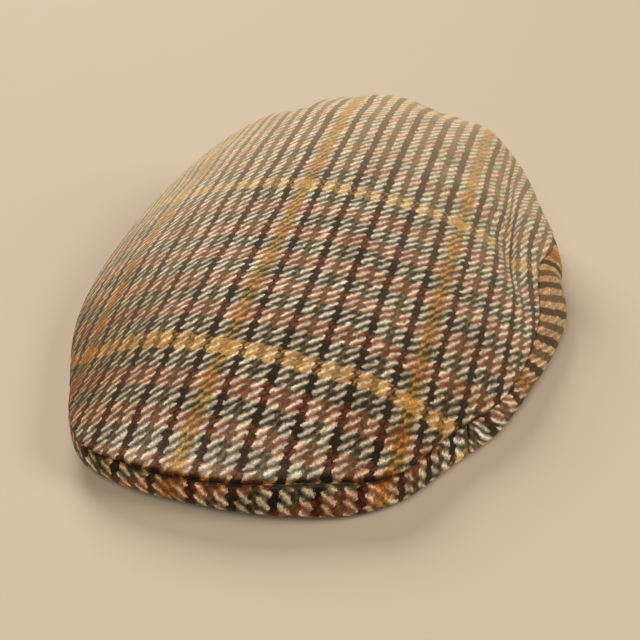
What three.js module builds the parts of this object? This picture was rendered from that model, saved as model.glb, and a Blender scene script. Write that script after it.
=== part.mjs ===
// Tweed flat cap lying on its rim: one large top panel, two side panels and a covered peak.
// Millimetres, +Z up. The peak points to -Y, the wearer's left side is at +X, and the origin
// is the middle of the underside, on the surface that the cap lies on.
import * as THREE from 'three';

// Cloth
const CLOTH_WALL = 2.2;
const PEAK_WALL = 2.5;
const SEAM_GAP = 0.3;

// Loops seen from above: superellipse quarters about the line where the cap is widest. The wearer's left
// is at +X, and each side has its own half width and its own fullness towards the front
const TOP_SEAM = {
  left: { half: 99, full: 2.4 },
  right: { half: 102, full: 2.22 },
  front: -141,
  back: 140.5,
  widest: 26,
  backFull: 2.05,
};

// How far the top seam is drawn out or in along the line from the middle of its loop, by place round the cap
const SEAM_STRETCH = [
  { around: -180, percent: 0.0 },
  { around: -90, percent: 0.0 },
  { around: -62, percent: -0.1 },
  { around: -48, percent: -0.9 },
  { around: -40, percent: -0.2 },
  { around: -32, percent: 2.4 },
  { around: -24, percent: 4.2 },
  { around: -12, percent: 1.7 },
  { around: 0, percent: 0.0 },
  { around: 18, percent: -1.8 },
  { around: 34, percent: 1.8 },
  { around: 48, percent: -1.2 },
  { around: 63, percent: 3.2 },
  { around: 80, percent: 2.0 },
  { around: 89, percent: -2.7 },
  { around: 93, percent: -1.8 },
  { around: 98, percent: 2.8 },
  { around: 104, percent: 3.0 },
  { around: 112, percent: 0.6 },
  { around: 124, percent: 0.3 },
  { around: 138, percent: 1.4 },
  { around: 160, percent: 0.5 },
  { around: 180, percent: 0.0 },
];
const HEAD_OPENING = {
  left: { half: 82, full: 2.3 },
  right: { half: 82, full: 2.3 },
  front: -74,
  back: 120,
  widest: 16,
  backFull: 2.1,
};

// Where the peak meets the side panels, in degrees round from the centre front, and half the gap there
const PEAK_CORNER = 52;
const PANEL_GAP = 0.1;

// Heights from the front seam (along 0) to the back seam (along 1): the seam at the sides, and the ridge
// down the middle of the top panel
const CROWN_STATIONS = [
  { along: 0.00, seam: 13.4, ridge: 13.4 },
  { along: 0.12, seam: 11.8, ridge: 28.0 },
  { along: 0.25, seam: 11.4, ridge: 38.4 },
  { along: 0.40, seam: 14.0, ridge: 47.2 },
  { along: 0.55, seam: 18.0, ridge: 55.4 },
  { along: 0.70, seam: 24.0, ridge: 62.4 },
  { along: 0.85, seam: 37.5, ridge: 65.0 },
  { along: 0.94, seam: 45.5, ridge: 60.0 },
  { along: 1.00, seam: 50.0, ridge: 50.0 },
];
const ARCH_FULL = 2.0;
const ARCH_ROUND = 1.12;
const NARROWEST_HALF = 0.001;

// The edge under the top seam, by place round the cap: how far the cloth swings out at its shoulder and
// hip, where its foot meets the surface, and how high the foot is held there
const EDGE_PLACES = [
  { around: -180, shoulder: 7.0, hip: 9.0, foot: -7.0, lift: 0.0 },
  { around: -100, shoulder: 5.0, hip: 8.0, foot: -4.0, lift: 0.0 },
  { around: -66, shoulder: 0.0, hip: -1.0, foot: -8.0, lift: 0.0 },
  { around: -44, shoulder: 1.0, hip: -1.0, foot: -9.0, lift: 0.0 },
  { around: -28, shoulder: 2.5, hip: 1.0, foot: -8.0, lift: 0.4 },
  { around: -14, shoulder: 3.5, hip: 3.2, foot: -4.0, lift: 1.4 },
  { around: 0, shoulder: 2.8, hip: 4.0, foot: -0.5, lift: 2.6 },
  { around: 20, shoulder: 6.0, hip: 12.0, foot: 0.0, lift: 1.6 },
  { around: 34, shoulder: 4.0, hip: 6.8, foot: -1.0, lift: 0.8 },
  { around: 48, shoulder: 6.5, hip: 12.0, foot: -1.0, lift: 0.3 },
  { around: 66, shoulder: 4.5, hip: 8.0, foot: -2.0, lift: 0.0 },
  { around: 80, shoulder: 9.0, hip: 16.0, foot: -2.0, lift: 0.0 },
  { around: 88, shoulder: 13.5, hip: 24.0, foot: -2.0, lift: 0.0 },
  { around: 94, shoulder: 10.0, hip: 17.0, foot: -3.0, lift: 0.0 },
  { around: 99, shoulder: 6.0, hip: 11.0, foot: -5.0, lift: 0.0 },
  { around: 106, shoulder: 4.0, hip: 8.0, foot: -7.0, lift: 0.0 },
  { around: 120, shoulder: 3.0, hip: 6.0, foot: -8.0, lift: 0.0 },
  { around: 145, shoulder: 6.0, hip: 10.0, foot: -6.0, lift: 0.0 },
  { around: 180, shoulder: 7.0, hip: 9.0, foot: -7.0, lift: 0.0 },
];
const SHOULDER_DROP = 0.62;

// Soft folds and dents of the top panel: place, heading of the fold from +Y, its length and width, its height
const FOLDS = [
  { x: 87, y: 14, heading: 17, length: 90, width: 6, height: -8.0 },
  { x: 97, y: 28, heading: 10, length: 60, width: 7, height: 3.0 },
  { x: -45, y: 110, heading: 17, length: 32, width: 9, height: -5.8 },
  { x: -18, y: 112, heading: 17, length: 36, width: 12, height: -1.4 },
  { x: 32, y: 115, heading: 17, length: 36, width: 15, height: -3.8 },
  { x: 62, y: 103, heading: 17, length: 40, width: 9, height: 4.4 },
  { x: 80, y: 92, heading: 17, length: 40, width: 9, height: -2.0 },
  { x: -78, y: -18, heading: 10, length: 70, width: 14, height: 2.0 },
];
const FOLD_FADE = 8;

// Grid of the walls
const RINGS = 18;
const COLUMN_STEP = 4;
const EDGE_STEPS = 8;
const HEM_STEPS = 3;
const PEAK_HEM_STEPS = 6;
const RING_SPREAD = 1.5;
const NEAR_SEAM_RING = 0.985;
const SLOPE_STEP = 0.5;

const radians = THREE.MathUtils.degToRad;
const signedPower = (value, power) => Math.sign(value) * Math.abs(value) ** power;

// Smooth curve through the rows of a table: cubic pieces whose slope at a row comes from its neighbours
function smooth(rows, key, column, at) {
  let i = 0;
  while (i < rows.length - 2 && at > rows[i + 1][key]) i += 1;
  const slope = (k) => {
    const before = rows[Math.max(k - 1, 0)];
    const after = rows[Math.min(k + 1, rows.length - 1)];
    return (after[column] - before[column]) / (after[key] - before[key]);
  };
  const span = rows[i + 1][key] - rows[i][key];
  const t = THREE.MathUtils.clamp((at - rows[i][key]) / span, 0, 1);
  const rise = t * t * (3 - 2 * t);
  const leave = t * (1 - t) * (1 - t) * span * slope(i);
  const arrive = t * t * (t - 1) * span * slope(i + 1);
  return rows[i][column] + rise * (rows[i + 1][column] - rows[i][column]) + leave + arrive;
}

// Point of a loop at an angle from the centre front, turning towards +X
function loopPoint(loop, around) {
  const sideways = Math.sin(around);
  const backward = -Math.cos(around);
  const side = sideways < 0 ? loop.right : loop.left;
  const power = 2 / (backward < 0 ? side.full : loop.backFull);
  const reach = backward < 0 ? loop.widest - loop.front : loop.back - loop.widest;
  return new THREE.Vector2(
    side.half * signedPower(sideways, power),
    loop.widest + reach * signedPower(backward, power),
  );
}

// Half the width of a loop across one station, on the side that x is on
function halfWidthAt(loop, x, y) {
  const side = x < 0 ? loop.right : loop.left;
  const full = y < loop.widest ? side.full : loop.backFull;
  const reach = y < loop.widest ? loop.widest - loop.front : loop.back - loop.widest;
  const share = Math.min(Math.abs(y - loop.widest) / reach, 1);
  return side.half * (1 - share ** full) ** (1 / full);
}

const seamStretch = (around) => (
  1 + smooth(SEAM_STRETCH, 'around', 'percent', THREE.MathUtils.radToDeg(around)) / 100
);

// Point of the top seam: its loop, stretched from the middle
function seamPoint(around) {
  const point = loopPoint(TOP_SEAM, around);
  const stretch = seamStretch(around);
  return new THREE.Vector2(point.x * stretch, TOP_SEAM.widest + (point.y - TOP_SEAM.widest) * stretch);
}

// Where a point of the top panel would lie if its seam were not stretched
function unstretched(x, y) {
  const side = x < 0 ? TOP_SEAM.right : TOP_SEAM.left;
  const ahead = y < TOP_SEAM.widest;
  const full = ahead ? side.full : TOP_SEAM.backFull;
  const reach = ahead ? TOP_SEAM.widest - TOP_SEAM.front : TOP_SEAM.back - TOP_SEAM.widest;
  const turn = Math.atan2(
    Math.abs(x / side.half) ** (full / 2),
    Math.abs((y - TOP_SEAM.widest) / reach) ** (full / 2),
  );
  const around = (x < 0 ? -1 : 1) * (ahead ? turn : Math.PI - turn);
  const stretch = seamStretch(around);
  return new THREE.Vector2(x / stretch, TOP_SEAM.widest + (y - TOP_SEAM.widest) / stretch);
}

const alongCap = (y) => (y - TOP_SEAM.front) / (TOP_SEAM.back - TOP_SEAM.front);
const seamHeight = (y) => smooth(CROWN_STATIONS, 'along', 'seam', alongCap(y));
const ridgeHeight = (y) => smooth(CROWN_STATIONS, 'along', 'ridge', alongCap(y));

// Sum of the folds over a point of the top panel, each a soft ridge or valley with faded ends
function foldHeight(x, y) {
  let sum = 0;
  for (const fold of FOLDS) {
    const heading = radians(fold.heading);
    const dx = x - fold.x;
    const dy = y - fold.y;
    const across = dx * Math.cos(heading) + dy * Math.sin(heading);
    const lengthwise = dy * Math.cos(heading) - dx * Math.sin(heading);
    sum += fold.height * Math.exp(-((across / fold.width) ** 2) - (2 * lengthwise / fold.length) ** 2);
  }
  return sum;
}

// Height of the top panel: an arch across each station, from the seam at one side to the seam at the other
function crownHeight(x, y) {
  const plan = unstretched(x, y);
  const half = Math.max(halfWidthAt(TOP_SEAM, plan.x, plan.y), NARROWEST_HALF);
  const share = Math.min(Math.abs(plan.x) / half, 1);
  const arch = (1 - share ** ARCH_FULL) ** (1 / ARCH_ROUND);
  const seam = seamHeight(plan.y);
  const ridge = Math.max(ridgeHeight(plan.y), seam);
  const inset = 1 - share ** FOLD_FADE;
  return seam + (ridge - seam) * arch + foldHeight(plan.x, plan.y) * inset;
}

function crownNormal(x, y) {
  const slopeX = (crownHeight(x + SLOPE_STEP, y) - crownHeight(x - SLOPE_STEP, y)) / (2 * SLOPE_STEP);
  const slopeY = (crownHeight(x, y + SLOPE_STEP) - crownHeight(x, y - SLOPE_STEP)) / (2 * SLOPE_STEP);
  return new THREE.Vector3(-slopeX, -slopeY, 1).normalize();
}

function crownPoint(ring, around) {
  const seam = seamPoint(around);
  const x = ring * seam.x;
  const y = TOP_SEAM.widest + ring * (seam.y - TOP_SEAM.widest);
  return new THREE.Vector3(x, y, crownHeight(x, y));
}

// Edge section at one place: outward direction, and the outline from the top seam to the head opening
function edgeSection(around, wall, hemSteps) {
  const degrees = THREE.MathUtils.radToDeg(around);
  const value = (column) => smooth(EDGE_PLACES, 'around', column, degrees);
  const seam = seamPoint(around);
  const opening = loopPoint(HEAD_OPENING, around);
  const outward = seam.clone().sub(opening);
  const depth = outward.length();
  outward.normalize();
  const top = seamHeight(loopPoint(TOP_SEAM, around).y);
  const lift = Math.max(value('lift'), 0);
  const bend = new THREE.CubicBezierCurve(
    new THREE.Vector2(0, top),
    new THREE.Vector2(value('shoulder'), lift + (top - lift) * SHOULDER_DROP),
    new THREE.Vector2(value('hip'), lift),
    new THREE.Vector2(value('foot'), lift),
  );
  const outline = [];
  const inside = [];
  for (let k = 0; k <= EDGE_STEPS; k += 1) {
    const point = bend.getPoint(k / EDGE_STEPS);
    const tangent = bend.getTangent(k / EDGE_STEPS);
    outline.push(point);
    inside.push(point.clone().add(new THREE.Vector2(tangent.y, -tangent.x).multiplyScalar(wall)));
  }
  for (let k = 1; k <= hemSteps; k += 1) {
    const out = THREE.MathUtils.lerp(value('foot'), -depth, k / hemSteps);
    outline.push(new THREE.Vector2(out, lift));
    inside.push(new THREE.Vector2(out, lift + wall));
  }
  const place = (point) => new THREE.Vector3(seam.x + outward.x * point.x, seam.y + outward.y * point.x, point.y);
  return { outer: outline.map(place), inner: inside.map(place) };
}

// Direction through the wall at the top seam: halfway between the crown's wall and the edge's wall
function seamMitre(around) {
  const nearSeam = crownPoint(NEAR_SEAM_RING, around);
  const crown = crownNormal(nearSeam.x, nearSeam.y);
  const section = edgeSection(around, 1, HEM_STEPS);
  const edge = section.outer[0].clone().sub(section.inner[0]).normalize();
  const middle = crown.clone().add(edge).normalize();
  return middle.multiplyScalar(-1 / middle.dot(crown));
}

// Closed wall between two matching grids of points. Rows run outwards or downwards, columns run round
// the cap; a closed grid joins its last column to its first, and a poled grid starts from one point
function wallGeometry(outer, inner, { closed, poled }) {
  const positions = [];
  const index = [];
  const add = (grid) => grid.map((row) => row.map((point) => positions.push(...point.toArray()) / 3 - 1));
  const outside = add(outer);
  const inside = add(inner);
  const last = outer.length - 1;
  const columns = outer[last].length;
  const spans = closed ? columns : columns - 1;
  const next = (j) => (j + 1) % columns;
  const quad = (a, b, c, d) => index.push(a, b, c, a, c, d);
  for (let j = 0; j < spans; j += 1) {
    for (let i = poled ? 1 : 0; i < last; i += 1) {
      quad(outside[i][j], outside[i + 1][j], outside[i + 1][next(j)], outside[i][next(j)]);
      quad(inside[i][j], inside[i][next(j)], inside[i + 1][next(j)], inside[i + 1][j]);
    }
    if (poled) {
      index.push(outside[0][0], outside[1][j], outside[1][next(j)]);
      index.push(inside[0][0], inside[1][next(j)], inside[1][j]);
    } else {
      quad(outside[0][j], outside[0][next(j)], inside[0][next(j)], inside[0][j]);
    }
    quad(outside[last][j], inside[last][j], inside[last][next(j)], outside[last][next(j)]);
  }
  if (!closed) {
    const end = columns - 1;
    for (let i = 0; i < last; i += 1) {
      quad(outside[i][0], inside[i][0], inside[i + 1][0], outside[i + 1][0]);
      quad(outside[i][end], outside[i + 1][end], inside[i + 1][end], inside[i][end]);
    }
  }
  const geometry = new THREE.BufferGeometry();
  geometry.setAttribute('position', new THREE.Float32BufferAttribute(positions, 3));
  geometry.setIndex(index);
  geometry.computeVertexNormals();
  return geometry;
}

function crownGeometry() {
  const outer = [];
  const inner = [];
  for (let i = 0; i <= RINGS; i += 1) {
    const ring = 1 - (1 - i / RINGS) ** RING_SPREAD;
    const columns = i === 0 ? 1 : 360 / COLUMN_STEP;
    const outerRow = [];
    const innerRow = [];
    for (let j = 0; j < columns; j += 1) {
      const around = radians(j * COLUMN_STEP - 180);
      const point = crownPoint(ring, around);
      if (i === RINGS) {
        point.z += SEAM_GAP;
        outerRow.push(point);
        innerRow.push(point.clone().addScaledVector(seamMitre(around), CLOTH_WALL));
      } else {
        outerRow.push(point);
        innerRow.push(point.clone().addScaledVector(crownNormal(point.x, point.y), -CLOTH_WALL));
      }
    }
    outer.push(outerRow);
    inner.push(innerRow);
  }
  return wallGeometry(outer, inner, { closed: true, poled: true });
}

// Panel of the edge between two angles: its grid has a column for each place and a row for each step
function edgeGeometry(from, to, wall, hemSteps) {
  const rows = EDGE_STEPS + hemSteps + 1;
  const outer = Array.from({ length: rows }, () => []);
  const inner = Array.from({ length: rows }, () => []);
  for (let degrees = from; degrees <= to; degrees += COLUMN_STEP) {
    const around = radians(THREE.MathUtils.clamp(degrees, from + PANEL_GAP, to - PANEL_GAP));
    const section = edgeSection(around, wall, hemSteps);
    section.inner[0] = section.outer[0].clone().addScaledVector(seamMitre(around), wall);
    for (let i = 0; i < rows; i += 1) {
      outer[i].push(section.outer[i]);
      inner[i].push(section.inner[i]);
    }
  }
  return wallGeometry(outer, inner, { closed: false, poled: false });
}

const cap = new THREE.Group();

function addPiece(name, geometry, color) {
  const material = new THREE.MeshStandardMaterial({ color, roughness: 0.95, metalness: 0 });
  const mesh = new THREE.Mesh(geometry, material);
  mesh.name = name;
  cap.add(mesh);
}

addPiece('crown_top', crownGeometry(), 0x8a7358);
addPiece('side_panel_left', edgeGeometry(PEAK_CORNER, 180, CLOTH_WALL, HEM_STEPS), 0x7d6248);
addPiece('side_panel_right', edgeGeometry(-180, -PEAK_CORNER, CLOTH_WALL, HEM_STEPS), 0x7d6248);
addPiece('peak', edgeGeometry(-PEAK_CORNER, PEAK_CORNER, PEAK_WALL, PEAK_HEM_STEPS), 0x5e4634);

// The origin is the middle of the cap's box, at the height of its rim
const box = new THREE.Box3().setFromObject(cap);
const middle = box.getCenter(new THREE.Vector3());
cap.position.set(-middle.x, -middle.y, -box.min.z);

export default cap;
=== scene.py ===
"""Looks of a tweed flat cap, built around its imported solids.

Lengths in the tables are millimetres in the frame that the cap was drawn in: +Z up, the peak towards -Y,
the wearer's left at +X, the floor at zero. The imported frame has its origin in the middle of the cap's box,
so the mesh of every piece is moved by FRAME_SHIFT and turned to metres when it is made.
"""
import math

import bpy
import numpy as np
from mathutils import Matrix, Vector


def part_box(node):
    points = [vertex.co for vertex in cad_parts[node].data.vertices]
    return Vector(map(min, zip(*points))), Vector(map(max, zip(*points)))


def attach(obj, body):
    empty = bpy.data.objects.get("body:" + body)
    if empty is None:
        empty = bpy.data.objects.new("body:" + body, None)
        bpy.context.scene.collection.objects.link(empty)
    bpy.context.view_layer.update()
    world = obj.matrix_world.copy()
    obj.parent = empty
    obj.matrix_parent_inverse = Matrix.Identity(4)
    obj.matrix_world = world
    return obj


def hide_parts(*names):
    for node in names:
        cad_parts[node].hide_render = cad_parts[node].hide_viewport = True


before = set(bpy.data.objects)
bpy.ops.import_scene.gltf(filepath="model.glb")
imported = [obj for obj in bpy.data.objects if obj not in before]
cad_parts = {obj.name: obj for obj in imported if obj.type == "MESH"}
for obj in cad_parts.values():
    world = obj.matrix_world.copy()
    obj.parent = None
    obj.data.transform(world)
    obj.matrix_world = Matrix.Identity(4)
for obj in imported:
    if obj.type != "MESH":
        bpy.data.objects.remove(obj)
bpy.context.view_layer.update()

MM = 0.001


def table(names, *rows):
    """Rows of numbers with named columns."""
    return np.rec.fromrecords(rows, names=names)


# Cloth
CLOTH_WALL = 2.2
PEAK_WALL = 2.5
SEAM_GAP = 0.3

# Loops seen from above: superellipse quarters about the line where the cap is widest
TOP_SEAM = dict(left=99.0, left_full=2.4, right=102.0, right_full=2.22, front=-141.0, back=140.5,
                widest=26.0, back_full=2.05)
HEAD_OPENING = dict(left=82.0, left_full=2.3, right=82.0, right_full=2.3, front=-74.0, back=120.0,
                    widest=16.0, back_full=2.1)

# How far the top seam is drawn out or in along the line from the middle of its loop, by place round the cap
SEAM_STRETCH = table(
    "around, percent",
    (-180, 0.0),
    (-90, 0.0),
    (-62, -0.1),
    (-48, -0.9),
    (-40, -0.2),
    (-32, 2.4),
    (-24, 4.2),
    (-12, 1.7),
    (0, 0.0),
    (18, -1.8),
    (34, 1.8),
    (48, -1.2),
    (63, 3.2),
    (80, 2.0),
    (89, -2.7),
    (93, -1.8),
    (98, 2.8),
    (104, 3.0),
    (112, 0.6),
    (124, 0.3),
    (138, 1.4),
    (160, 0.5),
    (180, 0.0),
)

# Where the peak meets the side panels, in degrees round from the centre front, and half the gap there
PEAK_CORNER = 52.0
PANEL_GAP = 0.1

# Heights from the front seam (along 0) to the back seam (along 1): the seam at the sides, and the ridge;
# then the powers of the arch between them, and the least half width that it is worked out from
CROWN_STATIONS = table(
    "along, seam, ridge",
    (0.00, 13.4, 13.4),
    (0.12, 11.8, 28.0),
    (0.25, 11.4, 38.4),
    (0.40, 14.0, 47.2),
    (0.55, 18.0, 55.4),
    (0.70, 24.0, 62.4),
    (0.85, 37.5, 65.0),
    (0.94, 45.5, 60.0),
    (1.00, 50.0, 50.0),
)
ARCH_FULL = 2.0
ARCH_ROUND = 1.12
NARROWEST_HALF = 0.001

# The edge under the top seam, by place round the cap: how far it swings out, where its foot is, its lift;
# then the share of the seam's height at which it swings out first
EDGE_PLACES = table(
    "around, shoulder, hip, foot, lift",
    (-180, 7.0, 9.0, -7.0, 0.0),
    (-100, 5.0, 8.0, -4.0, 0.0),
    (-66, 0.0, -1.0, -8.0, 0.0),
    (-44, 1.0, -1.0, -9.0, 0.0),
    (-28, 2.5, 1.0, -8.0, 0.4),
    (-14, 3.5, 3.2, -4.0, 1.4),
    (0, 2.8, 4.0, -0.5, 2.6),
    (20, 6.0, 12.0, 0.0, 1.6),
    (34, 4.0, 6.8, -1.0, 0.8),
    (48, 6.5, 12.0, -1.0, 0.3),
    (66, 4.5, 8.0, -2.0, 0.0),
    (80, 9.0, 16.0, -2.0, 0.0),
    (88, 13.5, 24.0, -2.0, 0.0),
    (94, 10.0, 17.0, -3.0, 0.0),
    (99, 6.0, 11.0, -5.0, 0.0),
    (106, 4.0, 8.0, -7.0, 0.0),
    (120, 3.0, 6.0, -8.0, 0.0),
    (145, 6.0, 10.0, -6.0, 0.0),
    (180, 7.0, 9.0, -7.0, 0.0),
)
SHOULDER_DROP = 0.62

# Soft folds and dents of the top panel: middle, heading in degrees, length, width and height; then the power
# by which they fade at the seam
FOLDS = table(
    "x, y, heading, length, width, height",
    (87, 14, 17, 90, 6, -8.0),
    (97, 28, 10, 60, 7, 3.0),
    (-45, 110, 17, 32, 9, -5.8),
    (-18, 112, 17, 36, 12, -1.4),
    (32, 115, 17, 36, 15, -3.8),
    (62, 103, 17, 40, 9, 4.4),
    (80, 92, 17, 40, 9, -2.0),
    (-78, -18, 10, 70, 14, 2.0),
)
FOLD_FADE = 8

# Cloth's own relief: slow waves of the top panel, which stop short of its seam, puckers beside the seams,
# the dips at the ends of the edge's panels, and the roll beside the top seam
WAVE_SEED = 11
WAVE_COUNT = 14
WAVE_LENGTHS = (24.0, 64.0)
WAVE_HEIGHT = 0.13
WAVE_CLEAR = 12.0
PUCKER_LENGTHS = (7.3, 10.7, 16.9)
PUCKER_HEIGHT = 0.11
PUCKER_REACH = 6.0
PUCKER_CLEAR = 1.5
PUCKER_START = 2.1
PUCKER_DRIFT = 3.7
EDGE_PUCKER_SHIFT = 3.0
SEAM_BLEND = 3.0
END_DIP_DEPTH = 0.6
END_DIP_WIDTH = 0.8
ROLL_PLACE = 2.6
ROLL_WIDTH = 1.5

# The top seam by place round the cap: how deep and wide its gutter is, and how high the cloth rolls
# beside it
SEAM_DIPS = table(
    "around, depth, width, roll",
    (-180, 0.5, 0.8, 0.2),
    (-24, 0.25, 0.8, 0.0),
    (-12, 1.3, 1.2, 0.3),
    (-4, 2.1, 1.5, 0.45),
    (26, 2.1, 1.5, 0.45),
    (37, 0.5, 0.8, 0.2),
    (180, 0.5, 0.8, 0.2),
)

# Weave and painted light of the edge by place round the cap: how far its weft rises over the warp, its
# painted shade as a power of its colour, and a pale painted sheen over it
EDGE_RISE_AND_PAINTED_LIGHT = table(
    "around, rise, depth, haze",
    (-180, -0.30, 1.20, 0.05),
    (-60, -0.05, 1.14, 0.02),
    (-20, 0.00, 1.20, 0.00),
    (40, 0.00, 1.16, 0.00),
    (52, -0.05, 0.98, 0.00),
    (68, -0.10, 1.14, 0.02),
    (80, -0.80, 1.32, 0.18),
    (90, -1.40, 1.36, 0.28),
    (108, -1.40, 1.36, 0.28),
    (140, -0.30, 1.20, 0.08),
    (180, -0.30, 1.20, 0.05),
)

# Weave and painted light of the top panel by its weft picks: how far its weft rises over the warp, its
# painted light and shade as a power of its colour and a pale painted sheen over it, in the middle and at its
# sides
CROWN_RISE_AND_PAINTED_LIGHT = table(
    "picks, rise, depth, side_depth, haze, side_haze",
    (-60, -0.15, 0.80, 1.42, 0.02, 0.03),
    (-40, -0.12, 0.82, 1.60, 0.02, 0.04),
    (-25, -0.03, 0.93, 1.70, 0.00, 0.06),
    (-10, 0.12, 1.00, 1.64, 0.00, 0.08),
    (12, 0.12, 1.00, 1.46, 0.00, 0.11),
    (40, 0.03, 0.97, 1.16, 0.00, 0.13),
    (70, 0.00, 0.95, 0.97, 0.00, 0.20),
    (100, -0.18, 0.97, 0.94, 0.04, 0.36),
    (140, -0.45, 1.00, 0.92, 0.22, 0.52),
    (190, -0.55, 1.00, 0.94, 0.40, 0.60),
)

# Painted shade, as a power of the colour, that each millimetre of a gutter adds; where the painted light and
# shade of the sides start and are full, and their share on the wearer's left
GUTTER_PAINTED_SHADE = 0.7
PAINTED_SIDES_FROM = 12.0
PAINTED_SIDES_TO = 92.0
LEFT_PAINTED_SIDES = 0.35

# Weave: thread spacings, where the gold lines of the windowpane lie, and how far the weft bows back by the
# square of the distance from the middle, growing from the first gold weft line on
END_PITCH = 0.8875
PICK_PITCH = 1.07
GOLD_WARP_X = -8.9
GOLD_WEFT_Y = -91.7
NEXT_GOLD_WEFT_Y = 9.2
WEFT_BOW = 0.001
WEFT_BOW_MOST = 1.6

# Cloth eased into the seams: where the warp starts to crowd, and its growth by the square of the distance;
# the crowding of the front comes in between two stations
EASE_RIGHT_FROM = 40.0
EASE_RIGHT = 0.0040
EASE_FRONT_FROM = 10.0
EASE_FRONT = 0.0026
EASE_FRONT_STATIONS = (-60.0, -110.0)
EASE_LEFT_FROM = 55.0
EASE_LEFT = 0.0022

# How far the warp of a side panel leans back for each millimetre down it, by length along the seam from
# the front
SIDE_SLANT = table(
    "length, slant",
    (112, 0.4),
    (165, 0.95),
    (200, 0.8),
    (270, 0.0),
)

# Cloth hidden in the crease's tuck: its line, how wide the tuck opens, and how much it takes, most at
# one place
TUCK_X = 82.8
TUCK_Y = 25.0
TUCK_SLANT = -0.13
TUCK_WIDTH = 2.6
TUCK_DEPTH = 9.0
TUCK_DEEPEST_Y = 45.0
TUCK_REACH = 42.0

# Places in the chart: the middles of the gold lines, and the threads at the seams of the peak and the sides,
# with the slant of the peak's weft and the spacing, the gold line and the round cut of the sides
GOLD_WARP_MIDDLE = 2.0
GOLD_WEFT_MIDDLE = 4.0
PEAK_WEFT_AT_SEAM = 39.0
PEAK_WEFT_SLANT = -0.25
SIDE_END_PITCH = 1.15
SIDE_GOLD_AT = 143.0
SIDE_WEFT_AT_SEAM = 40.0
SIDE_STRAIGHT_AT = 140.0
SIDE_CUT_RADIUS = 62.0

# Grids: rings, columns and rows of the meshes, and the steps of slopes and lengths
CROWN_RINGS = 150
INNER_RINGS = 40
CROWN_COLUMNS = 420
RING_CENTRE = TOP_SEAM["widest"]
RING_SPREAD = 1.5
NEAR_SEAM_RING = 0.985
SLOPE_STEP = 0.5
ARC_STEPS = 40
RIDGE_POINTS = 600
SEAM_POINTS = 2881
BEND_ROWS = 44
HEM_FADE_ROWS = 12
HEM_ROWS = 10
PANEL_COLUMNS = 240
PEAK_COLUMNS = 220

# Camera, fitted to the photograph: millimetres, degrees and pixels, and the near end of its view in metres
CAMERA_TARGET = (23.0, -76.0, 40.0)
CAMERA_DISTANCE = 321.2
CAMERA_AZIMUTH = 16.85
CAMERA_ELEVATION = 32.25
CAMERA_ROLL = -0.37
CAMERA_NEAR = 0.01
CAMERA_FOCAL_PIXELS = 877.0
PHOTO_PIXELS = 640.0
SENSOR_WIDTH = 36.0


def in_frame(points):
    """Points of the tables' frame, in millimetres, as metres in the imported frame."""
    return (np.asarray(points, float) + FRAME_SHIFT) * MM


def make_camera():
    """Camera at a distance from its target, by azimuth from the front, elevation and roll."""
    azimuth, elevation, roll = np.radians((CAMERA_AZIMUTH, CAMERA_ELEVATION, CAMERA_ROLL))
    back = Vector((math.sin(azimuth) * math.cos(elevation), -math.cos(azimuth) * math.cos(elevation),
                   math.sin(elevation)))
    level = Vector((math.cos(azimuth), math.sin(azimuth), 0.0))
    right = level * math.cos(roll) + back.cross(level) * math.sin(roll)
    up = back.cross(right)
    camera = bpy.data.objects.new("camera", bpy.data.cameras.new("camera"))
    camera.data.sensor_width = SENSOR_WIDTH
    camera.data.lens = CAMERA_FOCAL_PIXELS / PHOTO_PIXELS * SENSOR_WIDTH
    camera.data.clip_start = CAMERA_NEAR
    place = Vector(in_frame(CAMERA_TARGET)) + back * CAMERA_DISTANCE * MM
    camera.matrix_world = Matrix.Translation(place) @ Matrix((right, up, back)).transposed().to_4x4()
    bpy.context.scene.collection.objects.link(camera)
    bpy.context.scene.camera = camera


# Shape of the cap
def smooth(rows, key, column, at):
    """Curve through the rows of a table: cubic pieces whose slope at a row comes from its neighbours."""
    x, y = rows[key].astype(float), rows[column].astype(float)
    after = np.minimum(np.arange(len(x)) + 1, len(x) - 1)
    before = np.maximum(np.arange(len(x)) - 1, 0)
    slope = (y[after] - y[before]) / (x[after] - x[before])
    i = np.clip(np.searchsorted(x, at) - 1, 0, len(x) - 2)
    span = x[i + 1] - x[i]
    t = np.clip((at - x[i]) / span, 0, 1)
    rise = t * t * (3 - 2 * t) * (y[i + 1] - y[i])
    leave = t * (1 - t) ** 2 * span * slope[i]
    arrive = t * t * (t - 1) * span * slope[i + 1]
    return y[i] + rise + leave + arrive


def curves(rows, at):
    """Smooth curves through the columns of a table, at places along its first column."""
    key, *names = rows.dtype.names
    return [smooth(rows, key, name, at) for name in names]


def smooth_step(value, start, end):
    """Smooth step from 0 to 1: three squares less two cubes of a value's share of the way from a start to
    an end."""
    share = np.clip((value - start) / (end - start), 0, 1)
    return share * share * (3 - 2 * share)


def quarter(loop, right, ahead):
    """Half width, reach and fullness of a loop's quarter, by its side and by whether it lies ahead."""
    half = np.where(right, loop["right"], loop["left"])
    reach = np.where(ahead, loop["widest"] - loop["front"], loop["back"] - loop["widest"])
    full = np.where(ahead, np.where(right, loop["right_full"], loop["left_full"]), loop["back_full"])
    return half, reach, full


def loop_point(loop, around):
    """Point of a loop at an angle from the centre front, turning towards +X: each quarter is a superellipse,
    half width times sine and reach times cosine, both raised to 2 over the quarter's fullness."""
    sideways, backward = np.sin(around), -np.cos(around)
    half, reach, full = quarter(loop, sideways < 0, backward < 0)
    power = 2 / full
    x = half * np.sign(sideways) * np.abs(sideways) ** power
    y = loop["widest"] + reach * np.sign(backward) * np.abs(backward) ** power
    return x, y


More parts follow.
